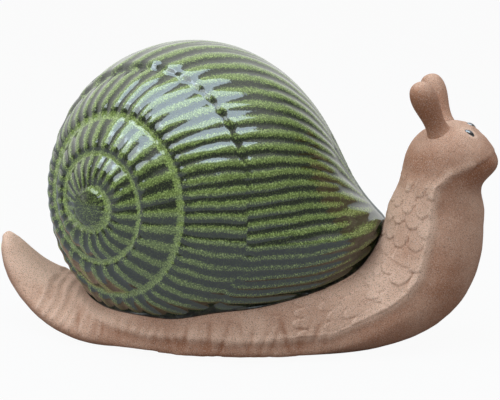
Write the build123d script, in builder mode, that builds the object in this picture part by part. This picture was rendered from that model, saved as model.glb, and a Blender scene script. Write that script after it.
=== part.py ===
"""Snail figurine: a coiled, glazed shell bedded on an unglazed, slip-cast clay snail."""

import os
from math import atan, cos, exp, pi, radians, sin, sqrt

from build123d import *

# Clay snail, millimetres: +X to the head, +Z up, the origin under the middle of the foot
body_length = 302.0
head_height = 138.0
foot_width = 130.0
neck_depth = 60.0
body_wall = 7.0
vent_diameter = 18.0
vent_x = -45.0

# One row for each cross-section from the tail tip to the crown: place along the body, height,
# pitch of the section in degrees, half width, back and belly as shares, sharpness of the back.
body_section_shares = [
    (-0.507, 0.392, -62, 0.05, 0.03, 0.03, 1.0),
    (-0.496, 0.327, -62, 0.18, 0.12, 0.11, 1.2),
    (-0.470, 0.235, -58, 0.32, 0.18, 0.155, 1.4),
    (-0.420, 0.138, -41, 0.51, 0.235, 0.17, 1.4),
    (-0.348, 0.069, -18, 0.70, 0.31, 0.18, 1.2),
    (-0.250, 0.051, -4, 0.87, 0.43, 0.18, 0.85),
    (-0.066, 0.051, 0, 0.99, 0.66, 0.18, 0.55),
    (0.100, 0.053, 2, 0.88, 0.70, 0.19, 0.62),
    (0.225, 0.094, 18, 0.71, 0.66, 0.27, 0.75),
    (0.300, 0.20, 47, 0.60, 0.59, 0.44, 0.95),
    (0.348, 0.36, 67, 0.51, 0.52, 0.52, 1.0),
    (0.3692, 0.5435, 79, 0.44, 0.49, 0.475, 1.0),
    (0.3775, 0.680, 82, 0.40, 0.42, 0.40, 1.0),
    (0.3907, 0.768, 75, 0.40, 0.442, 0.375, 1.0),
    (0.4023, 0.848, 68, 0.39, 0.392, 0.438, 1.0),
    (0.4172, 0.906, 60, 0.345, 0.267, 0.392, 1.0),
    (0.4255, 0.935, 55, 0.26, 0.142, 0.30, 1.0),
    (0.4340, 0.948, 51, 0.09, 0.04, 0.10, 1.0),
]
section_points = 16

# Rows left out at the tail and at the crown: by the hollow, and by the mould of the shell's bed
solid_tail_row_count, solid_crown_row_count = 4, 4
bare_tail_row_count, bare_crown_row_count = 1, 4

# The head's middle is in this row, counted from the crown
head_row_count = 3

# Shell: a globe with a flared lip, flatter on its far side and on the slope behind the lip
shell_radius = 91.0
shell_wall = 6.0
shell_centre_x, shell_centre_y, shell_rise_share = -33.0, 3.0, 0.945
shell_swing = 30.0
lip_flare_share, lip_rise_share, lip_fade_share = 0.28, -0.13, 0.157
slope_dip_share, slope_lean_share, slope_rise_angle = 0.035, 0.33, 35.0
far_flat_share, near_flat_share = 0.16, 0.07
ring_points = 32
ring_count = 17
pole_angle = 4.0
least_ring_radius = 1.0

# The coil: a band that winds out from the apex and grows by the same share in each turn
whorl_growth_share = 1.78
coil_turn_count = 3.75
coil_end_angle = -140.0
coil_end_polar_angle = 74.5
coil_sections_per_turn = 12
whorl_relief_share = 0.065
whorl_profile_shares = [(0.08, 0.1), (0.3, 0.5), (0.55, 0.8), (0.78, 1.0), (0.92, 0.85)]
whorl_foot_shares = (0.97, 0.03)
whorl_key_depth = 2.0

# Bedding under the shell's rim
bed_gap = 1.2
bed_bead = 0.6

# Tentacles: the middles of each root and bulb, measured from the middle of the head
left_root_x, left_root_y, left_root_z = -12.0, 10.5, 4.0
left_bulb_x, left_bulb_y, left_bulb_z = -20.0, 17.0, 26.6
right_root_x, right_root_y, right_root_z = -13.5, -11.0, 4.0
right_bulb_x, right_bulb_y, right_bulb_z = -23.4, -18.5, 27.8
tentacle_root_radius = 7.6
tentacle_waist_radius = 6.5
tentacle_bulb_radius = 7.3
tentacle_sink = 8.0
peg_radius = 3.5
peg_depth = 9.0

# Eyes, measured from the middle of the head too
eye_length = 6.6
eye_width = 4.2
eye_x, eye_spread_share = 4.0, 0.47
eye_sink_share = 0.35
sides = {"left": 1, "right": -1}

# Glue gap round the pegs and the eyes
seat_gap = 0.1

os.makedirs("parts", exist_ok=True)

head_along_share, head_rise_share, _, head_width_share, *_ = body_section_shares[-head_row_count]
head_middle = Vector(head_along_share * body_length, 0, head_rise_share * head_height)
tentacle_roots = {
    "left": head_middle + Vector(left_root_x, left_root_y, left_root_z),
    "right": head_middle + Vector(right_root_x, right_root_y, right_root_z),
}
tentacle_bulbs = {
    "left": head_middle + Vector(left_bulb_x, left_bulb_y, left_bulb_z),
    "right": head_middle + Vector(right_bulb_x, right_bulb_y, right_bulb_z),
}


def smooth_loop(points):
    """Closed curve through the points, with the same knots for every loop of as many points."""
    knots = [step / len(points) for step in range(len(points) + 1)]
    return Edge.make_spline(points, periodic=True, parameters=knots)


def body_sections(rows, grow):
    """The body's cross-sections, each one made larger by grow."""
    sections = []
    for along, height, pitch, width, back, belly, ridge in rows:
        tilt = radians(pitch)
        place = (along * body_length, 0, height * head_height)
        points = []
        for step in range(section_points):
            angle = 2 * pi * step / section_points - pi / 2
            rise = sin(angle)
            reach = (back if rise > 0 else belly) * neck_depth + grow
            lift = reach * (rise**ridge if rise > 0 else rise)
            points.append(((width * foot_width / 2 + grow) * cos(angle), lift))
        with BuildSketch(Plane(origin=place, x_dir=(0, 1, 0), z_dir=(cos(tilt), 0, sin(tilt)))) as section:
            with BuildLine():
                add(smooth_loop(points))
            make_face()
        sections.append(section.sketch.face())
    return sections


# Shell directions: the coil's axis points to the near side and a little to the tail
swing = radians(shell_swing)
apex_axis = Vector(-sin(swing), -cos(swing), 0)
forward_axis = Vector(cos(swing), -sin(swing), 0)
up_axis = Vector(0, 0, 1)
shell_centre = Vector(shell_centre_x, shell_centre_y, shell_rise_share * shell_radius)
slope_rise = radians(slope_rise_angle)
slope_axis = Vector(cos(slope_rise), slope_lean_share, sin(slope_rise)).normalized()


def globe_radius(direction):
    """Distance from the shell's centre to its skin, without the coil."""
    above_lip = max(0.0, direction.Z - lip_rise_share)
    lip = exp(-above_lip / lip_fade_share) * max(0.0, direction.X) ** 3
    slope = max(0.0, direction.dot(slope_axis)) ** 5
    flat = (far_flat_share if direction.Y > 0 else near_flat_share) * direction.Y**2
    return shell_radius * (1 + lip_flare_share * lip - slope_dip_share * slope - flat)


def spoke(angle):
    return forward_axis * cos(angle) + up_axis * sin(angle)


def globe_sections(grow):
    """Rings round the coil's axis, each one on the globe's skin made larger by grow."""
    sections = []
    for ring in range(ring_count):
        polar = radians(pole_angle + (180 - 2 * pole_angle) * ring / (ring_count - 1))
        pole = globe_radius(apex_axis * (1 if cos(polar) > 0 else -1)) + grow
        height = pole * cos(polar)
        points = []
        for step in range(ring_points):
            angle = 2 * pi * step / ring_points
            reach = pole * sin(polar)
            for _ in range(30):
                direction = (apex_axis * height + spoke(angle) * reach).normalized()
                reach = sqrt(max((globe_radius(direction) + grow) ** 2 - height**2, least_ring_radius**2))
            points.append((reach * cos(angle), reach * sin(angle)))
        middle = shell_centre + apex_axis * height
        with BuildSketch(Plane(origin=middle, x_dir=forward_axis, z_dir=apex_axis)) as section:
            with BuildLine():
                add(smooth_loop(points))
            make_face()
        sections.append(section.sketch.face())
    return sections


def whorl_point(angle, polar, lift):
    """Point above the globe's skin, on the half plane through the coil's axis at the angle."""
    reach = globe_radius(apex_axis * cos(polar) + spoke(angle) * sin(polar)) + lift
    return (reach * sin(polar), reach * cos(polar))


def coil_sections():
    """The whorls' cross-sections along the spiral, from the lip in to the apex."""
    sections = []
    end_half = radians(coil_end_polar_angle) / 2
    end_share = sin(end_half) / cos(end_half)
    for step in range(int(coil_turn_count * coil_sections_per_turn) + 1):
        turn = step / coil_sections_per_turn
        angle = radians(coil_end_angle) + 2 * pi * turn
        outer = 2 * atan(end_share * whorl_growth_share**-turn)
        inner = 2 * atan(end_share * whorl_growth_share ** (-turn - 1))
        relief = whorl_relief_share * shell_radius * (outer - inner)
        crest = []
        for place, lift in whorl_profile_shares:
            crest.append(whorl_point(angle, inner + place * (outer - inner), lift * relief))
        foot = []
        for place in whorl_foot_shares:
            foot.append(whorl_point(angle, inner + place * (outer - inner), -whorl_key_depth))
        side = spoke(angle)
        with BuildSketch(Plane(origin=shell_centre, x_dir=side, z_dir=side.cross(apex_axis))) as section:
            with BuildLine():
                Spline(*crest)
                Polyline(crest[-1], *foot, crest[0])
            make_face()
        sections.append(section.sketch.face())
    return sections


with BuildPart() as clay:
    loft(body_sections(body_section_shares, 0))
    split(bisect_by=Plane.XY, keep=Keep.TOP)

with BuildPart() as clay_hollow:
    loft(body_sections(body_section_shares[solid_tail_row_count:-solid_crown_row_count], -body_wall))
    split(bisect_by=Plane.XY.offset(body_wall), keep=Keep.TOP)
    with Locations((vent_x, 0, 0)):
        Cylinder(vent_diameter / 2, 2 * body_wall, align=(Align.CENTER, Align.CENTER, Align.MIN))

with BuildPart() as bed_mould:
    loft(body_sections(body_section_shares[bare_tail_row_count:-bare_crown_row_count], bed_gap))

with BuildPart() as shell_hollow:
    loft(globe_sections(-shell_wall))

with BuildPart() as shell_skin:
    loft(globe_sections(bed_bead))

# Bedding: the dark bead that fills the gap under the shell's rim
with BuildPart() as shell_bedding:
    add(shell_skin.part)
    add(shell_hollow.part, mode=Mode.SUBTRACT)
    add(bed_mould.part, mode=Mode.INTERSECT)
    split(bisect_by=Plane.XY.offset(body_wall), keep=Keep.TOP)
    add(clay.part, mode=Mode.SUBTRACT)
shell_bedding.part.label = "shell_bedding"
export_step(shell_bedding.part, "parts/shell_bedding.step")


def tentacle_plane(side):
    root = tentacle_roots[side]
    return Plane(origin=root, z_dir=tentacle_bulbs[side] - root)


def tentacle_outline(side):
    """Half outline of a tentacle: a root under the skin, a waist and a round bulb."""
    length = (tentacle_bulbs[side] - tentacle_roots[side]).length
    return [
        (tentacle_root_radius, 0),
        (tentacle_waist_radius, length / 2),
        (tentacle_bulb_radius, length),
        (tentacle_bulb_radius * sin(pi / 4), length + tentacle_bulb_radius * sin(pi / 4)),
        (0, length + tentacle_bulb_radius),
    ]


def tentacle_peg(side, grow):
    """Peg made larger by grow, from inside the stalk down into the head."""
    with BuildPart(mode=Mode.PRIVATE) as peg:
        with Locations(tentacle_plane(side).offset(-peg_depth - grow)):
            Cylinder(peg_radius + grow, peg_depth + tentacle_sink, align=(Align.CENTER, Align.CENTER, Align.MIN))
    return peg.part


def tentacle(side):
    """Stalk cut to the head's skin, on a peg that goes into the head."""
    outline = tentacle_outline(side)
    plane = tentacle_plane(side)
    with BuildPart(mode=Mode.PRIVATE) as stalk:
        with BuildSketch(Plane(plane.origin, x_dir=plane.x_dir, z_dir=-plane.y_dir)):
            with BuildLine():
                Spline(*outline)
                Polyline(outline[-1], (0, -tentacle_sink), (tentacle_root_radius, -tentacle_sink), outline[0])
            make_face()
        revolve(axis=Axis(plane.origin, plane.z_dir))
        add(clay.part, mode=Mode.SUBTRACT)
        add(tentacle_peg(side, 0))
    return stalk.part


def eye_plane(side):
    """Plane on the head's skin under the eye, with the eye's length along the head's slope."""
    eye_y = eye_spread_share * head_width_share * foot_width / 2
    drop = Axis(head_middle + Vector(eye_x, eye_y * sides[side], 0), up_axis)
    point, normal = max(clay.part.find_intersection_points(drop), key=lambda hit: hit[0].Z)
    return Plane(origin=point, x_dir=Vector(0, 1, 0).cross(normal), z_dir=normal)


def eye_bead(side):
    """Oval bead, sunk in the head by a share of its half width."""
    plane = eye_plane(side).offset(-eye_width / 2 * eye_sink_share)
    with BuildPart(mode=Mode.PRIVATE) as bead:
        with BuildSketch(plane):
            Ellipse(eye_length / 2, eye_width / 2)
            split(bisect_by=Plane.XZ)
        revolve(axis=Axis(plane.origin, plane.x_dir))
    return bead.part


def eye_seat(side):
    """Oval pocket in the head that the bead is glued in."""
    floor = -eye_width / 2 * eye_sink_share - eye_width / 2 - seat_gap
    with BuildPart(mode=Mode.PRIVATE) as seat:
        with BuildSketch(eye_plane(side).offset(floor)):
            Ellipse(eye_length / 2 + seat_gap, eye_width / 2 + seat_gap)
        extrude(amount=2 * eye_width)
    return seat.part


with BuildPart() as tentacle_left:
    add(tentacle("left"))
tentacle_left.part.label = "tentacle_left"
export_step(tentacle_left.part, "parts/tentacle_left.step")

with BuildPart() as tentacle_right:
    add(tentacle("right"))
tentacle_right.part.label = "tentacle_right"
export_step(tentacle_right.part, "parts/tentacle_right.step")

with BuildPart() as eye_left:
    add(eye_bead("left"))
eye_left.part.label = "eye_left"
export_step(eye_left.part, "parts/eye_left.step")

with BuildPart() as eye_right:
    add(eye_bead("right"))
eye_right.part.label = "eye_right"
export_step(eye_right.part, "parts/eye_right.step")

# Body: the clay form, slip-cast hollow, with the seats of the tentacles' pegs and the eyes
with BuildPart() as body:
    add(clay.part)
    add(clay_hollow.part, mode=Mode.SUBTRACT)
    for side in sides:
        add(tentacle_peg(side, seat_gap), mode=Mode.SUBTRACT)
        add(eye_seat(side), mode=Mode.SUBTRACT)
body.part.label = "body"
export_step(body.part, "parts/body.step")

# Shell: the globe with its coil, hollow inside and cut to the body with room for the bedding
with BuildPart() as shell:
    loft(globe_sections(0))
    loft(coil_sections())
    split(bisect_by=Plane.XY, keep=Keep.TOP)
    add(shell_hollow.part, mode=Mode.SUBTRACT)
    add(bed_mould.part, mode=Mode.SUBTRACT)
shell.part.label = "shell"
export_step(shell.part, "parts/shell.step")
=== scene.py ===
import math

import bmesh
import bpy
import numpy as np
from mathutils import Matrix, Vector, bvhtree, noise


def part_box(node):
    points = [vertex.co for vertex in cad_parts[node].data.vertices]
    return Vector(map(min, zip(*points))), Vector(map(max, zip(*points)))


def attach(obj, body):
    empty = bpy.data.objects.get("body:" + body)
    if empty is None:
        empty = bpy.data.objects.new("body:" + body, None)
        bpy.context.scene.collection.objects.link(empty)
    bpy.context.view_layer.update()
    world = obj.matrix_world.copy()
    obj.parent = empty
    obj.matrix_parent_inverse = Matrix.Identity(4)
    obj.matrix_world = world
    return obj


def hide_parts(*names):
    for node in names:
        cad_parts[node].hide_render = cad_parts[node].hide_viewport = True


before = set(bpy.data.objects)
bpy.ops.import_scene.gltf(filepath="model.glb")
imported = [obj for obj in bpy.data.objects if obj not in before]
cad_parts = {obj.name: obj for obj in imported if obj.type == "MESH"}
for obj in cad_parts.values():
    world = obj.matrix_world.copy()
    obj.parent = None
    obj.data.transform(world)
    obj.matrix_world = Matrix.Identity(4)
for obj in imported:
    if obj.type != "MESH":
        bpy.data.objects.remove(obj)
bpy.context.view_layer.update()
scene = bpy.context.scene
scene.view_settings.view_transform = "Standard"


# The snail's body: foot, curled tail, neck and head in one hollow piece of speckled brown
# stoneware, left bare. It was pressed in a mould, and the scales and folds were tooled in
# while the clay was soft.

MM = 0.001
CLAY_GRID = 1.6 * MM


class Wire:
    """A socket of a node tree. Sums, products and comparisons of wires add the Math nodes."""

    def __init__(self, tree, socket=None):
        self.tree = tree
        self.socket = socket

    def node(self, kind, settings=(), inputs=(), out=0):
        """Adds a node: its settings first, then the values or links of its sockets."""
        made = self.tree.nodes.new(kind)
        for name, value in dict(settings).items():
            setattr(made, name, value)
        for place, value in dict(inputs).items():
            if isinstance(value, Wire):
                self.tree.links.new(value.socket, made.inputs[place])
            else:
                made.inputs[place].default_value = value
        return Wire(self.tree, made.outputs[out] if len(made.outputs) else None)

    def maths(self, operation, *terms):
        return self.node("ShaderNodeMath", {"operation": operation}, dict(enumerate(terms)))

    def of(self, operation):
        return self.maths(operation, self)

    def __add__(self, other):
        return self.maths("ADD", self, other)

    __radd__ = __add__

    def __sub__(self, other):
        return self.maths("SUBTRACT", self, other)

    def __rsub__(self, other):
        return self.maths("SUBTRACT", other, self)

    def __mul__(self, other):
        return self.maths("MULTIPLY", self, other)

    __rmul__ = __mul__

    def __truediv__(self, other):
        return self.maths("DIVIDE", self, other)

    def __pow__(self, other):
        return self.maths("POWER", self, other)

    def __gt__(self, other):
        return self.maths("GREATER_THAN", self, other)

    def __lt__(self, other):
        return self.maths("LESS_THAN", self, other)

    def most(self, other):
        return self.maths("MAXIMUM", self, other)

    def least(self, other):
        return self.maths("MINIMUM", self, other)

    def fade(self, low, high):
        """0 at low and 1 at high, easing in and out."""
        settings = {"interpolation_type": "SMOOTHSTEP"}
        return self.node("ShaderNodeMapRange", settings, {0: self, 1: low, 2: high})

    def blend(self, first, second):
        """The first colour where this share is 0 and the second where it is 1."""
        return self.node("ShaderNodeMix", {"data_type": "RGBA"}, {0: self, 6: first, 7: second}, 2)

    def grain(self, scale, detail):
        """Noise of a scale, read at this place."""
        settings = {"Vector": self, "Scale": scale, "Detail": detail}
        return self.node("ShaderNodeTexNoise", inputs=settings)

    def axis(self, number):
        """One of the three numbers of this vector."""
        return self.node("ShaderNodeSeparateXYZ", inputs={0: self}, out=number)

    def into(self, socket):
        self.tree.links.new(self.socket, socket)


def new_finish(name):
    """A new material, its shader, a wire to start from and the object's own coordinates."""
    material = bpy.data.materials.new(name)
    material.use_nodes = True
    start = Wire(material.node_tree)
    place = start.node("ShaderNodeTexCoord", out="Object")
    return material, material.node_tree.nodes["Principled BSDF"], start, place


def attribute(start, name):
    return start.node("ShaderNodeAttribute", {"attribute_name": name}, out="Fac")


def colour(red, green, blue):
    """A colour as a paint chart gives it, 0 to 255, in the linear numbers that a shader reads."""
    linear = []
    for value in (red, green, blue):
        share = value / 255
        linear.append(share / 12.92 if share <= 0.04045 else ((share + 0.055) / 1.055) ** 2.4)
    return (*linear, 1.0)


def settled(piece):
    """Makes the piece's evaluated shape its plain mesh and takes its modifiers off."""
    graph = bpy.context.evaluated_depsgraph_get()
    mesh = bpy.data.meshes.new_from_object(piece.evaluated_get(graph))
    piece.modifiers.clear()
    piece.data = mesh
    return piece


def merged_copy(node, name):
    """A copy of a CAD node's mesh with its loose triangles joined, as an object of its own."""
    mesh = bpy.data.meshes.new(name)
    work = bmesh.new()
    work.from_mesh(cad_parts[node].data)
    bmesh.ops.remove_doubles(work, verts=work.verts, dist=0.002 * MM)
    work.to_mesh(mesh)
    work.free()
    piece = bpy.data.objects.new(name, mesh)
    scene.collection.objects.link(piece)
    return piece


def vertex_rows(mesh, what):
    """A vertex property as rows of three numbers."""
    rows = np.empty(3 * len(mesh.vertices), np.float32)
    mesh.vertices.foreach_get(what, rows)
    return rows.reshape(-1, 3)


def store(mesh, name, values):
    """Keeps one number per vertex as an attribute that a material can read."""
    layer = mesh.attributes.new(name, "FLOAT", "POINT")
    layer.data.foreach_set("value", np.asarray(values, np.float32))


def ease(values, low, high):
    """0 at low and 1 at high, easing in and out."""
    share = np.clip((values - low) / (high - low), 0, 1)
    return share * share * (3 - 2 * share)


def bell(values, width):
    """1 at nought, falling off to both sides over the width."""
    return np.exp(-((values / width) ** 2))


def along(line, flat):
    """How far along a side-view line each point is, how far above or behind it, and its offset."""
    best = np.full(len(flat), 1e9)
    run = np.zeros(len(flat))
    side = np.zeros(len(flat))
    offset = np.zeros(flat.shape)
    start = 0.0
    for near, far in zip(line[:-1], line[1:]):
        step = far - near
        length = np.hypot(*step)
        share = np.clip((flat - near) @ step / length**2, 0, 1)
        gap = flat - near - share[:, None] * step
        distance = np.hypot(gap[:, 0], gap[:, 1])
        turn = step[0] * gap[:, 1] - step[1] * gap[:, 0]
        closer = distance < best
        best[closer] = distance[closer]
        run[closer] = start + share[closer] * length
        side[closer] = np.sign(turn[closer]) * distance[closer]
        offset[closer] = gap[closer]
        start += length
    return run, side, offset


def jitter(first, second, salt):
    """A fixed scatter from -1 to 1 for each pair of whole numbers."""
    mixed = np.sin(first * 127.1 + second * 311.7 + salt * 74.7) * 43758.5453
    return 2 * (mixed - np.floor(mixed)) - 1


def shingles(run, across, length, width, salt):
    """Overlapping tongue-shaped scales, free ends down: their height, and a line round each."""
    top = np.zeros(len(run))
    line = np.zeros(len(run))
    for step in (-1, 0, 1):
        row = np.floor(run / length) + step
        shift = 0.5 * np.mod(row, 2)
        for turn in (-1, 0, 1):
            column = np.floor(across / width - shift) + turn
            middle = (row + 0.5 + 0.14 * jitter(row, column, salt)) * length
            centre = (column + 0.5 + shift + 0.12 * jitter(column, row, salt + 1)) * width
            up = (run - middle) / length
            out = np.abs(across - centre) / width
            tongue = (out / 0.55) ** 2.4 + (np.where(up < 0, -up / 0.8, up / 0.75)) ** 2
            plate = (0.6 - 0.5 * up + 0.1 * jitter(row, column, salt + 2)) * ease(tongue, 1.0, 0.86)
            higher = plate > top
            top[higher] = plate[higher]
            line[higher] = np.exp(-(((tongue[higher] - 0.84) / 0.1) ** 2)) * ease(up[higher], 0.3, -0.1)
    return top, line


def refined(mesh, wanted):
    """Halves the mesh's edges wherever both ends are wanted, for finer tooling there."""
    work = bmesh.new()
    work.from_mesh(mesh)
    fine = [edge for edge in work.edges if all(wanted[vertex.index] for vertex in edge.verts)]
    bmesh.ops.subdivide_edges(work, edges=fine, cuts=1, use_grid_fill=True)
    work.to_mesh(mesh)
    work.free()


clay_body = merged_copy("body", "clay_body")
press = clay_body.modifiers.new("pressed", "REMESH")
press.mode = "VOXEL"
press.voxel_size = CLAY_GRID
sponge = clay_body.modifiers.new("sponged", "SMOOTH")
sponge.factor = 0.5
sponge.iterations = 3
settled(clay_body)

# Places in millimetres. The two lines are side views, X and Z: the middle of the body from tail to
# head, and the keel, which parts the breast and the foot's edge from the back.
shell_centre = np.array([-33.0, 3.0, 86.0])
spine = np.array([(-126.8, 19), (-105, 9.5), (-75.5, 7), (-20, 7), (30, 7.3), (68, 13), (90.6, 27.6),
                  (105, 49.7), (111.5, 75), (114, 93.8), (118, 106), (121.5, 117), (126, 125)])
keel = np.array([(-118, 30), (-105, 24), (-80, 17), (-49, 13), (11, 12.5), (56, 14.5), (76, 22.8),
                 (90, 30), (100, 38.1), (105.7, 46.4), (108, 54.5), (109.8, 64), (111.6, 75),
                 (112.5, 86), (114.3, 99), (121, 107), (132, 112)])
SIDES = ("left", "right")


def from_shell(points):
    return np.linalg.norm(points - shell_centre, axis=1)


# A finer mesh on the outside of the neck and flank, where the scales are
clay_mesh = clay_body.data
skin = vertex_rows(clay_mesh, "co") / MM
facing = vertex_rows(clay_mesh, "normal")
x, y, z = skin.T
above = along(keel, skin[:, [0, 2]])[1]
off_spine = along(spine, skin[:, [0, 2]])[2]
outside = (off_spine * facing[:, [0, 2]]).sum(axis=1) + y * facing[:, 1] > 0
scaled_area = (x > 18) & (z < 110) & (above > -1) & (from_shell(skin) > 91)
refined(clay_mesh, scaled_area & outside)

skin = vertex_rows(clay_mesh, "co") / MM
facing = vertex_rows(clay_mesh, "normal")
x, y, z = skin.T
upward = facing[:, 2]
run = along(spine, skin[:, [0, 2]])[0]
edge_run, above, _ = along(keel, skin[:, [0, 2]])
spread = np.abs(y)
clear = ease(from_shell(skin), 90, 97)
off_floor = ease(z, 1.2, 3.5)

# The keel: a rounded crest with a step behind it
keel_fade = ease(edge_run, 0, 25) * ease(edge_run, 366, 335)
crest = bell(above - 1.2, 2.4) * keel_fade
shelf = np.tanh(above / 2.5) * bell(above, 14) * keel_fade

# The scales: round on the neck, long on the flank
neck_radius, flank_share = 28, 0.8
neck_scale_length, neck_scale_width, neck_salt = 11.5, 8.6, 3
flank_scale_length, flank_scale_width, flank_salt = 17, 6.0, 11
around = np.arctan2(np.maximum(above, 0) / neck_radius, spread / neck_radius) * neck_radius
neck_mask = ease(x, 72, 86) * ease(z, 108, 100) * ease(above, 1.0, 2.5) * ease(around, 42, 36)
neck_top, neck_line = shingles(run, around, neck_scale_length, neck_scale_width, neck_salt)
flank_mask = ease(x, 14, 36) * ease(x, 88, 76) * ease(above, 1.0, 3) * ease(spread, 18, 28)
flank_top, flank_line = shingles(run, above, flank_scale_length, flank_scale_width, flank_salt)
scales = neck_mask * neck_top + flank_share * flank_mask * flank_top
scale_line = neck_mask * neck_line + flank_share * flank_mask * flank_line
scale_mask = neck_mask + flank_share * flank_mask

# The tail: a ridge along its top, with wavy folds beside it
fold_pitch, ridge_width = 6.6, 3.2
tail_wave = np.sin(run / fold_pitch * 2 * math.pi + 1.6 * np.sin(spread / 7) + 1.1 * np.sin(run / 9))
tail_mask = ease(x, -66, -84) * ease(upward, -0.1, 0.35)
tail_ridge = bell(spread, ridge_width) * ease(x, -80, -100) * ease(upward, 0.2, 0.5)
tail_folds = np.maximum(tail_wave, -0.2) * tail_mask * ease(spread, 2, 7)

# Pinches pressed across the foot's edge
pinch_count, pinch_pitch, pinch_width, pinch_salt, first_pinch_x = 34, 6.2, 1.5, 5, -118
pinches = np.zeros(len(skin))
for number in range(pinch_count):
    shift, stretch, force, slant, lift = (float(jitter(number, row, pinch_salt)) for row in range(1, 6))
    place = first_pinch_x + pinch_pitch * number + 2.2 * shift
    middle = 1.5 + 3.0 * lift
    off = x - place - 0.35 * slant * (above - middle)
    depth = 0.7 + 0.4 * force
    pinches += depth * bell(off, pinch_width) * bell(above - middle, 8.0 + 3.0 * stretch)
pinches *= ease(x, 62, 44)

# A lid round each eye
lid_radii, lid_ring, lid_width = np.array([4.2, 3.4, 3.3]), 1.15, 0.28
lids = np.zeros(len(skin))
for side in SIDES:
    low, high = (np.array(corner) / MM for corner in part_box("eye_" + side))
    lids += bell(np.linalg.norm((skin - (low + high) / 2) / lid_radii, axis=1) - lid_ring, lid_width)


def lump(point):
    """The slow unevenness of hand-pressed clay, about -1 to 1."""
    return noise.noise(point / 13) + 0.5 * noise.noise(point / 5)


# What stands out, in millimetres, and a lift of the near rim under the coil
lumps = np.array([lump(Vector(point)) for point in skin])
tooled = 0.75 * crest + 0.55 * shelf + 1.3 * scales
tooled = tooled + 1.1 * tail_ridge + 0.8 * tail_folds - 1.15 * pinches
moved = (tooled * clear + 0.45 * lids + 0.28 * lumps * (0.35 + 0.65 * clear)) * off_floor
skin += facing * moved[:, None]
rim_lift, rim_middle_x, rim_length = 3.6, -10, 16
rim_push = bell(x - rim_middle_x, rim_length) * ease(-y, 20, 40)
rim_push *= ease(from_shell(skin), 106, 92) * ease(z, 6, 14)
z += rim_lift * rim_push
clay_mesh.vertices.foreach_set("co", (skin * MM).astype(np.float32).ravel())
clay_mesh.update()

# Where the clay's colour is paler, above nought, or browner: a pale bloom on the tooled crests that is
# partly painted highlight, a painted highlight on the lid round each eye, painted shade in the pinches
# and painted shade over the head
marks_and_painted_light = 0.9 * crest + 0.5 * shelf + 0.55 * scale_mask * (scales - 0.5) + 1.1 * scale_line
marks_and_painted_light += 0.8 * tail_ridge + 0.6 * tail_folds - 1.4 * pinches
head_shade = ease(z, 98, 116) * ease(x, 80, 95)
# The attribute called tooled carries this painted highlight and painted shade to the clay's finish.
store(clay_mesh, "tooled", marks_and_painted_light * clear + 1.2 * lids - 0.9 * head_shade)
clay_mesh.shade_smooth()


def clay_finish(name, tooled_share, paleness):
    """Bare speckled stoneware: a pale bloom, with painted highlight on what faces up and stands up, and
    painted shade, browner, in the folds and below.
    """
    brown, pale_bloom_and_highlight = colour(165, 106, 74), colour(232, 188, 161)
    dark_sand, pale_grog = colour(108, 74, 55), colour(232, 208, 192)
    material, shader, start, place = new_finish(name)
    upward = start.node("ShaderNodeNewGeometry", out="Normal").axis(2)
    cloud = place.grain(45.0, 3.0)
    sand = place.grain(1900.0, 2.0)
    grog = place.grain(1700.0, 2.0)
    # Paler where the surface faces up: painted top light. The stored marks add painted highlight and
    # painted shade as well.
    bloom_and_painted_light = paleness + 0.3 * upward + tooled_share * attribute(start, "tooled") + 0.7 * (cloud - 0.5)
    body = bloom_and_painted_light.fade(0.0, 1.0).blend(brown, pale_bloom_and_highlight)
    body = (0.6 * sand.fade(0.48, 0.36)).blend(body, dark_sand)
    body = (0.34 * grog.fade(0.53, 0.66)).blend(body, pale_grog)
    body.into(shader.inputs["Base Color"])
    height = 0.6 * sand + 0.4 * grog
    relief = {"Strength": 0.6, "Distance": 0.6 * MM, "Height": height}
    bump = start.node("ShaderNodeBump", inputs=relief)
    bump.into(shader.inputs["Normal"])
    shader.inputs["Roughness"].default_value = 0.82
    shader.inputs["Specular IOR Level"].default_value = 0.3
    return material


clay_body.data.materials.clear()
clay_body.data.materials.append(clay_finish("bare_clay", 0.28, 0.46))
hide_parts("body")
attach(clay_body, "root")


# The two tentacles: short rods of the same clay with a bulb at the tip, rolled by hand and
# pegged into the head while it was soft, so that each meets it in a crisp crease.

# The stalks take a darker copy of the same clay finish: painted shade.
shaded_stalk_clay = clay_finish("shaded_stalk_clay", 0.0, 0.26)
for side in SIDES:
    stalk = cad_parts["tentacle_" + side]
    stalk.data.materials.clear()
    stalk.data.materials.append(shaded_stalk_clay)


# The eyes: two oval beads, glazed black and pressed into pockets on the front of the head.

eye_glaze, eye_shader, _, eye_place = new_finish("black_eye_glaze")
eye_tone = eye_place.grain(700.0, 2.0).fade(0.35, 0.75).blend(colour(10, 10, 11), colour(34, 32, 30))
eye_tone.into(eye_shader.inputs["Base Color"])
eye_shader.inputs["Roughness"].default_value = 0.05
eye_shader.inputs["IOR"].default_value = 2.4
for side in SIDES:
    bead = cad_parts["eye_" + side]
    bead.data.materials.clear()
    bead.data.materials.append(eye_glaze)


# The shell: a hollow cap thrown as a globe, with a flat coil of ribbed whorls on its near side
# and a flared lip at the neck. It is dipped in a glossy green glaze that thins to yellow green
# on the ribs and pools dark between them.

SWING, TILT = math.radians(35), math.radians(3)
level = math.cos(TILT)
apex_axis = Vector((-math.sin(SWING) * level, -math.cos(SWING) * level, math.sin(TILT)))
forward_axis = Vector((math.cos(SWING), -math.sin(SWING), 0.0))
up_axis = apex_axis.cross(forward_axis)
rib_pole = Vector((0.97, 0.15, -0.1)).normalized()
pole_ring = math.tan(apex_axis.angle(rib_pole) / 2)
pole_bearing = math.atan2(rib_pole.dot(up_axis), rib_pole.dot(forward_axis))
source_ring, source_bearing = 0.16, math.radians(-75)
off_centre, off_centre_bearing = 0.13, math.radians(60)
crowding, crowd_bearing = 0.19, math.radians(-120)
rib_wander = 3.0

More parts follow.
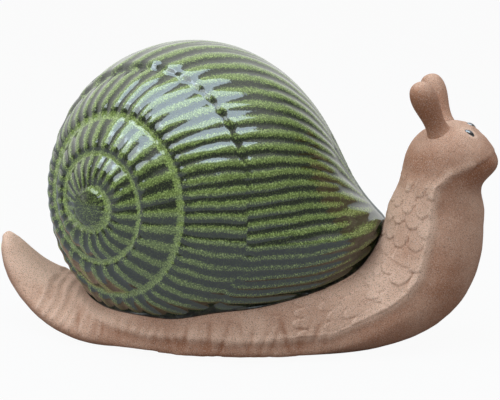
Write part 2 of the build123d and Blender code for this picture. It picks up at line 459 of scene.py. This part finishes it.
shell_sizes = {
    "Radius": 90.95 * MM,
    "Lip Flare": 0.28,
    "Lip Rise": -0.13,
    "Lip Fade": 0.157,
    "Slope Dip": 0.035,
    "Far Flat": 0.16,
    "Near Flat": 0.07,
    "Coil Start": math.radians(-140),
    "Coil Edge": math.radians(75),
    "Whorl Growth": 1.78,
    "Suture Depth": 0.034,
    "Rib Height": 0.6 * MM,
    "Whorl Ribs": 44.0,
    "Body Ribs": 54.0,
}
shell_counts = {"Around": 481, "Rows": 190}

coil = bpy.data.node_groups.new("ribbed_coil", "GeometryNodeTree")
coil.interface.new_socket("Geometry", in_out="OUTPUT", socket_type="NodeSocketGeometry")
for name, value in shell_sizes.items():
    coil.interface.new_socket(name, in_out="INPUT", socket_type="NodeSocketFloat").default_value = value
for name, value in shell_counts.items():
    coil.interface.new_socket(name, in_out="INPUT", socket_type="NodeSocketInt").default_value = value
coil.interface.new_socket("Glaze", in_out="INPUT", socket_type="NodeSocketMaterial")
inlet = coil.nodes.new("NodeGroupInput")
size = {socket.name: Wire(coil, socket) for socket in inlet.outputs if socket.name}
draw = Wire(coil)

grid_sizes = {"Size X": 1.0, "Size Y": 1.0, "Vertices X": size["Around"], "Vertices Y": size["Rows"]}
grid = draw.node("GeometryNodeMeshGrid", inputs=grid_sizes, out="Mesh")
spot = draw.node("GeometryNodeInputPosition")
lap = (spot.axis(0) + 0.5).of("FRACT")
angle = size["Coil Start"] + 2 * math.pi * lap
row_share = (spot.axis(1) + 0.5).most(0.000001).least(0.999999)
polar = math.pi * row_share * (0.8 + 0.2 * row_share)
ahead = angle.of("COSINE") * polar.of("SINE")
climb = angle.of("SINE") * polar.of("SINE")
apex = polar.of("COSINE")
way_x = apex_axis.x * apex + forward_axis.x * ahead + up_axis.x * climb
way_y = apex_axis.y * apex + forward_axis.y * ahead + up_axis.y * climb
rise = apex_axis.z * apex + up_axis.z * climb
way = draw.node("ShaderNodeCombineXYZ", inputs={0: way_x, 1: way_y, 2: rise})


def share_along(axis):
    """How much of the way out from the centre runs along an axis."""
    return axis.x * way_x + axis.y * way_y + axis.z * rise


lip = ((size["Lip Rise"] - rise).least(0.0) / size["Lip Fade"]).of("EXPONENT")
lip = lip * way_x.most(0.0) ** 3.0
slope_angle = math.radians(35)
slope_axis = Vector((math.cos(slope_angle), 0.33, math.sin(slope_angle))).normalized()
slope = share_along(slope_axis).most(0.0) ** 5.0
flat_share = size["Near Flat"] + (size["Far Flat"] - size["Near Flat"]) * (way_y > 0.0)
globe = 1 + size["Lip Flare"] * lip - size["Slope Dip"] * slope - flat_share * way_y * way_y

half_tangent = (polar / 2).of("TANGENT")
seat = half_tangent + (0.047 - 0.65 * (half_tangent - 0.06).most(0.0)).most(0.0)
seat = seat / (1 + off_centre * (angle - off_centre_bearing).of("COSINE"))
seat_share = seat / (size["Coil Edge"] / 2).of("TANGENT")
depth_in = seat_share.maths("LOGARITHM", seat_share, size["Whorl Growth"])
wind = depth_in + lap
whorl = (0 - wind).of("FLOOR")
step_in = wind.of("FRACT")
inner = 2 * (seat * size["Whorl Growth"] ** (0 - step_in)).of("ARCTANGENT")
outer = 2 * (seat * size["Whorl Growth"] ** (1 - step_in)).of("ARCTANGENT")
width = outer - inner
place = (2 * seat.of("ARCTANGENT") - inner) / width
turn_in = lap + whorl
nucleus = half_tangent.fade(0.085, 0.05)
coil_fade = (wind < 0.0) * turn_in.fade(0.0, 0.1)


def suture_depth(turn):
    """How deep the spiral's groove is at a turn, as a share of its distance from the apex."""
    return size["Suture Depth"] * (turn + 0.25) * turn.fade(0.05, 0.3) * (1 - nucleus)


bank_share = 0.11 + 0.15 * (turn_in + 1).fade(0.8, 1.8)
inner_bank = 1 - (place / bank_share).least(1.0)
outer_bank = ((place - 0.26) / 0.74).most(0.0)
groove_depth = suture_depth(turn_in + 1) * inner * inner_bank**2.2
groove_depth = groove_depth + suture_depth(turn_in) * outer * outer_bank**1.7
cord = (0 - (inner_bank - 1) ** 2.0 / 0.09).of("EXPONENT") * (turn_in + 1).fade(0.8, 1.2)
cord = cord + (0 - ((1 - place) / 0.1) ** 2.0).of("EXPONENT") * turn_in.fade(0.8, 1.2)
cord = cord.least(1.0) * half_tangent.fade(0.045, 0.06)

# The ribs: whole numbers of them in each whorl, 27 in the second, 22, 16 and 12 further in
wander = rib_wander * (way.grain(4.0, 1.0) - 0.5)
inner_ribs = 12 + 4 * (whorl < 4) + 6 * (whorl < 3) + 5 * (whorl < 2)
whorl_ribs = inner_ribs + (size["Whorl Ribs"] - 27) * (whorl < 1)
crowd = (angle - crowd_bearing).of("SINE") - (size["Coil Start"] - crowd_bearing).of("SINE")
beat = 2 * math.pi * lap - crowding * crowd * polar.fade(math.radians(150), math.radians(80))
to_pole_x = pole_ring * math.cos(pole_bearing) - half_tangent * angle.of("COSINE")
to_pole_y = pole_ring * math.sin(pole_bearing) - half_tangent * angle.of("SINE")
swerve = to_pole_y.maths("ARCTAN2", to_pole_y, to_pole_x) - pole_bearing
settle = turn_in.fade(0.95, 0.35)
lean = turn_in.fade(0.8, 1.3) * (1.4 * turn_in - 1.6 * place)
coil_turn = whorl_ribs * beat - size["Whorl Ribs"] * settle * swerve + lean + wander
coil_wave = coil_turn.of("COSINE")
off_pole = (2 - 2 * share_along(rib_pole)).most(0.0).of("SQRT")
from_source_x = half_tangent * angle.of("COSINE") - source_ring * math.cos(source_bearing)
from_source_y = half_tangent * angle.of("SINE") - source_ring * math.sin(source_bearing)
fan = from_source_y.maths("ARCTAN2", from_source_y, from_source_x)
body_turn = size["Body Ribs"] * (fan - swerve) + wander
paired = off_pole.fade(0.56, 0.42)
forked = (way_y + 0.4 * rise).fade(0.1, 0.6) * off_pole.fade(0.8, 1.2)
full_wave = (1 - forked) * body_turn.of("COSINE") + forked * (2 * body_turn).of("COSINE")
body_wave = (1 - paired) * full_wave + paired * (body_turn / 2).of("COSINE")
rib = 0.5 + 0.5 * (coil_fade * coil_wave + (1 - coil_fade) * body_wave)
lip_swell = rise.fade(0.05, -0.35) * way_x.fade(0.1, 0.5)
pole_fade = off_pole.fade(0.08, 0.25)
body_share = (1 + 0.8 * lip_swell) * (1 + 0.5 * paired) * (1 - 0.3 * forked) * pole_fade
coil_share = (width / 0.49) ** 0.6 * (1 - nucleus)
rib_share = coil_fade * coil_share + (1 - coil_fade) * body_share

# Where each point goes, and the marks that the glaze reads
tip = half_tangent.fade(0.07, 0.0)
lift = size["Rib Height"] * (rib_share * (rib - 1) + 0.7 * cord + 1.4 * tip)
reach = size["Radius"] * (globe - groove_depth) + lift
out_from_centre = draw.node("ShaderNodeVectorMath", {"operation": "SCALE"}, {0: way, "Scale": reach}, 0)
from_and_to = {0: out_from_centre, 1: tuple(shell_centre * MM)}
position = draw.node("ShaderNodeVectorMath", {"operation": "ADD"}, from_and_to)
net = coil_fade * (rise + 0.5 * ahead).fade(0.1, -0.45)
valley = inner_bank.fade(0.1, 0.7) * (turn_in + 1).fade(0.1, 0.9) * (1 - nucleus)
valley = valley + 0.75 * lip_swell
tone_share = coil_fade * (1 - nucleus) + (1 - coil_fade) * pole_fade
fields = {"rib": 0.4 + (rib - 0.4) * tone_share, "cord": cord, "valley": valley, "net": net}
for name, field in fields.items():
    kind = {"data_type": "FLOAT", "domain": "POINT"}
    kept = {"Geometry": grid, "Name": name, "Value": field}
    grid = draw.node("GeometryNodeStoreNamedAttribute", kind, kept)
grid = draw.node("GeometryNodeSetPosition", inputs={"Geometry": grid, "Position": position})
grid = draw.node("GeometryNodeMergeByDistance", inputs={"Geometry": grid, "Distance": 0.02 * MM})
grid = draw.node("GeometryNodeRealizeInstances", inputs={"Geometry": grid})
grid = draw.node("GeometryNodeSetMaterial", inputs={"Geometry": grid, "Material": size["Glaze"]})
draw.node("NodeGroupOutput", inputs={0: grid})


def glaze_finish():
    """Glossy green glaze: yellow green where it thins on the ribs, dark and speckled in pools."""
    pooled, net_pooled, olive = colour(37, 44, 23), colour(25, 31, 18), colour(46, 48, 23)
    rib_green, cord_green = colour(121, 137, 67), colour(146, 162, 86)
    dark_fleck, pale_fleck = colour(22, 28, 14), colour(182, 194, 116)
    material, shader, start, place = new_finish("green_glaze")
    mark = {name: attribute(start, name) for name in ("rib", "cord", "valley", "net", "rim")}
    cloud = place.grain(38.0, 4.0)
    ripple = place.grain(380.0, 3.0)
    fleck = place.grain(1250.0, 2.0)
    ridge = mark["rib"] + 0.3 * (cloud - 0.5) + 0.7 * (ripple - 0.5)
    band = (1 - mark["net"]) * ridge.fade(0.1, 0.95) + mark["net"] * ridge.fade(0.4, 0.85)
    line = (mark["cord"] + 0.6 * (ripple - 0.5)).fade(0.2, 0.8)
    thin = (band - 0.6 * mark["valley"]).most(0.9 * line)
    tone = thin.blend(mark["net"].blend(pooled, net_pooled), rib_green)
    tone = (0.7 * line).blend(tone, cord_green)
    speck = fleck.fade(0.53, 0.42) * (1 - 0.45 * thin.fade(0.4, 1.0))
    tone = (0.8 * speck).blend(tone, dark_fleck)
    bright = fleck.fade(0.54, 0.66) * (0.15 + 0.85 * thin.fade(0.1, 0.7))
    tone = (0.7 * bright).blend(tone, pale_fleck)
    near_rim = (mark["rim"] + 6 * (cloud - 0.5)).fade(12.0, 3.0)
    tone = (0.75 * near_rim).blend(tone, olive)
    tone.into(shader.inputs["Base Color"])
    gloss = 0.05 + 0.07 * fleck.fade(0.4, 0.7)
    gloss.into(shader.inputs["Roughness"])
    relief = {"Strength": 0.12, "Distance": 0.6 * MM, "Height": ripple}
    start.node("ShaderNodeBump", inputs=relief).into(shader.inputs["Normal"])
    shader.inputs["IOR"].default_value = 1.85
    return material


green_glaze = glaze_finish()


def turned_globe(name, changes):
    """The coil's tree run once with its sizes, some of them changed, as a plain closed mesh."""
    piece = bpy.data.objects.new(name, bpy.data.meshes.new(name))
    scene.collection.objects.link(piece)
    throw = piece.modifiers.new("thrown", "NODES")
    throw.node_group = coil
    values = {**shell_sizes, **shell_counts, **changes, "Glaze": green_glaze}
    for socket in coil.interface.items_tree:
        if socket.in_out == "INPUT":
            throw[socket.identifier] = values[socket.name]
    settled(piece)
    work = bmesh.new()
    work.from_mesh(piece.data)
    bmesh.ops.recalc_face_normals(work, faces=work.faces)
    work.to_mesh(piece.data)
    work.free()
    return piece


def trimmed(piece, tools):
    """Cuts the piece by each tool in turn and keeps the largest part that is left."""
    for tool, operation in tools:
        cut = piece.modifiers.new("cut_" + tool.name, "BOOLEAN")
        cut.object = tool
        cut.operation = operation
        cut.solver = "MANIFOLD"
    settled(piece)
    work = bmesh.new()
    work.from_mesh(piece.data)
    unseen = set(work.verts)
    parts = []
    while unseen:
        part = {unseen.pop()}
        edge_of_part = list(part)
        while edge_of_part:
            vertex = edge_of_part.pop()
            for edge in vertex.link_edges:
                other = edge.other_vert(vertex)
                if other in unseen:
                    unseen.remove(other)
                    part.add(other)
                    edge_of_part.append(other)
        parts.append(part)
    kept = max(parts, key=len)
    crumbs = [vertex for vertex in work.verts if vertex not in kept]
    bmesh.ops.delete(work, geom=crumbs, context="VERTS")
    work.to_mesh(piece.data)
    work.free()


shell = turned_globe("green_shell", {})
inside = {"Radius": 85 * MM, "Suture Depth": 0.0, "Rib Height": 0.0, "Around": 97, "Rows": 49}
core = turned_globe("shell_core", inside)
trimmed(shell, [(core, "DIFFERENCE"), (clay_body, "DIFFERENCE")])

shell_mesh = shell.data
clay_tree = bvhtree.BVHTree.FromObject(clay_body, bpy.context.evaluated_depsgraph_get())
to_clay = [clay_tree.find_nearest(vertex.co)[3] / MM for vertex in shell_mesh.vertices]
store(shell_mesh, "rim", to_clay)
shell_mesh.shade_smooth()
shell_mesh.set_sharp_from_angle(angle=math.radians(55))
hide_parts("shell")
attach(shell, "root")


# The seam: a thin bead of dark glaze that ran down the shell and set between its rim and the
# bare clay, holding the two together.

seam_glaze, seam_shader, _, seam_place = new_finish("dark_seam_glaze")
seam_cloud = seam_place.grain(260.0, 3.0).fade(0.4, 0.7)
seam_cloud.blend(colour(24, 24, 20), colour(62, 60, 42)).into(seam_shader.inputs["Base Color"])
seam_shader.inputs["Roughness"].default_value = 0.22
bead_radius, bead_stand = 91.5 * MM, 1.0
plain_globe = {"Radius": bead_radius, "Rib Height": 0.0, "Suture Depth": 0.0}
seam_bead = turned_globe("seam_bead", plain_globe)
swollen = bpy.data.objects.new("swollen_clay", clay_mesh.copy())
scene.collection.objects.link(swollen)
swelling = (skin + bead_stand * vertex_rows(clay_mesh, "normal")) * MM
swollen.data.vertices.foreach_set("co", swelling.astype(np.float32).ravel())
trimmed(seam_bead, [(core, "DIFFERENCE"), (swollen, "INTERSECT"), (clay_body, "DIFFERENCE")])
for tool in (core, swollen):
    bpy.data.objects.remove(tool)
seam_bead.data.materials.clear()
seam_bead.data.materials.append(seam_glaze)
seam_bead.data.shade_smooth()
seam_bead.data.set_sharp_from_angle(angle=math.radians(55))
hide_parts("shell_bedding")
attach(seam_bead, "root")


# The studio: a white sweep to stand on, a broad soft box above and a small one at the left, and a
# pale room that looks whiter overhead and behind where the glaze mirrors it.

floor = bpy.data.objects.new("floor", bpy.data.meshes.new("floor"))
floor.data.from_pydata([(-4, -4, 0), (4, -4, 0), (4, 4, 0), (-4, 4, 0)], [], [(0, 1, 2, 3)])
scene.collection.objects.link(floor)
floor_paint = bpy.data.materials.new("floor_paint")
floor_paint.use_nodes = True
floor_shader = floor_paint.node_tree.nodes["Principled BSDF"]
floor_shader.inputs["Base Color"].default_value = (0.32, 0.32, 0.32, 1)
floor_shader.inputs["Roughness"].default_value = 1.0
floor_shader.inputs["Specular IOR Level"].default_value = 0.0
floor_start = Wire(floor_paint.node_tree)
floor_seen = floor_start.node("ShaderNodeLightPath", out="Is Camera Ray")
floor_shine = floor_start.node("ShaderNodeLightPath", out="Is Glossy Ray")
floor_through = floor_start.node("ShaderNodeLightPath", out="Is Transmission Ray")
white = {"Color": (1, 1, 1, 1), "Strength": 1.0}
floor_white = floor_start.node("ShaderNodeEmission", inputs=white)
floor_plain = Wire(floor_paint.node_tree, floor_shader.outputs["BSDF"])
floor_share = 0.95 * (floor_seen + 0.2 * floor_shine + 0.2 * floor_through).least(1.0)
mixing = {0: floor_share, 1: floor_plain, 2: floor_white}
floor_mixed = floor_start.node("ShaderNodeMixShader", inputs=mixing)
floor_mixed.into(floor_paint.node_tree.nodes["Material Output"].inputs["Surface"])
floor.data.materials.append(floor_paint)

room = bpy.data.worlds.new("room")
scene.world = room
room.use_nodes = True
room_light = room.node_tree.nodes["Background"]
room_start = Wire(room.node_tree)
seen = room_start.node("ShaderNodeLightPath", out="Is Camera Ray")
shone = room_start.node("ShaderNodeLightPath", out="Is Glossy Ray")
outward_way = room_start.node("ShaderNodeTexCoord", out="Generated")
ceiling = 0.7 * outward_way.axis(2).fade(0.45, 0.85)
behind = 0.9 * (0.86 * outward_way.axis(1) - 0.5 * outward_way.axis(0)).fade(0.05, 0.6)
room_light.inputs["Color"].default_value = (1, 1, 1, 1)
room_strength = 0.36 + 0.64 * seen - 0.18 * shone + shone * ceiling.most(behind)
room_strength.into(room_light.inputs["Strength"])

target = Vector((0, 0, 0.082))
azimuth, elevation = math.radians(10), math.radians(14)
flat_part = math.cos(elevation)
toward = Vector((math.sin(azimuth) * flat_part, -math.cos(azimuth) * flat_part, math.sin(elevation)))
right = Vector((math.cos(azimuth), math.sin(azimuth), 0))
upright = toward.cross(right)


def soft_box(name, way_to, distance, wide, tall, power, tint):
    """A rectangular lamp that faces the object from a direction given as right, up and toward."""
    lamp = bpy.data.lights.new(name, "AREA")
    lamp.shape = "RECTANGLE"
    lamp.size = wide
    lamp.size_y = tall
    lamp.energy = power
    lamp.color = tint
    piece = bpy.data.objects.new(name, lamp)
    direction = (right * way_to[0] + upright * way_to[1] + toward * way_to[2]).normalized()
    piece.location = target + direction * distance
    piece.rotation_euler = direction.to_track_quat("Z", "Y").to_euler()
    scene.collection.objects.link(piece)


soft_box("sky_box", (-0.1, 0.86, 0.42), 1.3, 1.9, 1.1, 24.0, (0.68, 0.86, 1.0))
soft_box("side_box", (-0.68, 0.52, 0.52), 1.3, 0.7, 0.6, 4.0, (0.8, 0.91, 1.0))


# The camera: a metre away with a long lens, a little above the snail and turned towards its head.

lens = bpy.data.cameras.new("camera")
lens.lens = 120
lens.sensor_width = 36
camera = bpy.data.objects.new("camera", lens)
camera.location = target + toward * 1.0
camera.rotation_euler = toward.to_track_quat("Z", "Y").to_euler()
scene.collection.objects.link(camera)
scene.camera = camera
